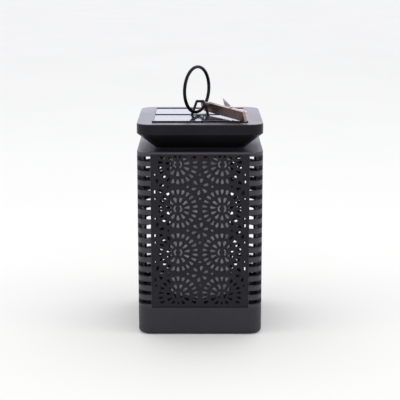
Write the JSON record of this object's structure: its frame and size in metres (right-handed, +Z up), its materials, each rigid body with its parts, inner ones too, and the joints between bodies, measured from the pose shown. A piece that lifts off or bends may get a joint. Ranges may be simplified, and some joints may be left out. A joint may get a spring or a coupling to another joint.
{
  "type": "hanging solar garden lantern",
  "caption": "Square solar garden lantern with pierced sides, slatted corners, lift-off solar cap, frosted flame tube, hanging ring and spring clip.",
  "frame": {"origin": "centre of the base on the floor", "axes": "+Z up; the front is -Y; +X is to the right seen from the front"},
  "size_m": [0.11, 0.11, 0.2344],
  "materials": {
    "body_black": "satin moulded plastic",
    "panel_black": "satin moulded plastic",
    "cap_black": "smooth moulded plastic",
    "solar_cell": "clear resin over dark solar cells",
    "battery_wrap": "printed-free shrink wrap",
    "contact_metal": "plated",
    "board_green": "solder mask",
    "part_black": "moulded",
    "switch_grey": "moulded",
    "knob_red": "moulded",
    "core_white": "moulded",
    "strip_cream": "flexible board",
    "lamp_yellow": "phosphor",
    "frosted": "frosted",
    "ring_black": "gloss black coating",
    "clip_bronze": "dark plated sheet",
    "clip_nickel": "bright plated sheet",
    "steel": "zinc plated"
  },
  "bodies": {
    "lantern_body": {"base_tray": "body_black", "base_cover": "body_black", "base_screws": "steel", "body_rim": "body_black", "post_front_left": "body_black", "post_front_right": "body_black", "post_back_left": "body_black", "post_back_right": "body_black", "panel_front": "panel_black", "panel_back": "panel_black", "panel_left": "panel_black", "panel_right": "panel_black"},
    "cap": {"cap_top": "cap_black", "cap_skirt": "cap_black", "cap_screws": "steel", "panel_bezel": "cap_black", "solar_tile_front": "solar_cell", "solar_tile_back": "solar_cell", "hanging_eye": "cap_black", "battery_cell": "battery_wrap", "battery_cradle": "part_black", "battery_contacts": "contact_metal", "circuit_board": "board_green", "board_parts": "part_black", "switch_body": "switch_grey", "lamp_core": "core_white", "flame_board": "strip_cream", "lamps": "lamp_yellow", "diffuser_tube": "frosted", "tube_foot": "part_black"},
    "switch": {"switch_knob": "knob_red"},
    "ring": {"hang_ring": "ring_black"},
    "clip": {"clip_front_lever": "clip_bronze", "clip_pin": "steel", "clip_spring": "steel"},
    "clip_back": {"clip_back_lever": "clip_nickel"}
  },
  "joints": [
    {"name": "cap_lift", "type": "slide", "parent": "lantern_body", "child": "cap", "axis": [0, 0, 1], "range_m": [0, 0.15]},
    {"name": "switch_slide", "type": "slide", "parent": "cap", "child": "switch", "axis": [0, 1, 0], "range_m": [0, 0.003]},
    {"name": "ring_swing", "type": "hinge", "parent": "cap", "child": "ring", "pos_m": [-0.0028, 0, 0.19235], "axis": [-0.5358, -0.8443, 0], "range_deg": [0, 60]},
    {"name": "clip_swing", "type": "hinge", "parent": "ring", "child": "clip", "pos_m": [0.00359, 0.01008, 0.19623], "axis": [-0.4335, -0.6831, -0.5878], "range_deg": [0, 15]},
    {"name": "clip_squeeze", "type": "hinge", "parent": "clip", "child": "clip_back", "pos_m": [0.02825, -0.02881, 0.19601], "axis": [-0.2449, -0.1606, 0.9562], "range_deg": [0, 13], "stiffness_Nm_per_rad": 0.08, "springref_deg": -17.19}
  ]
}
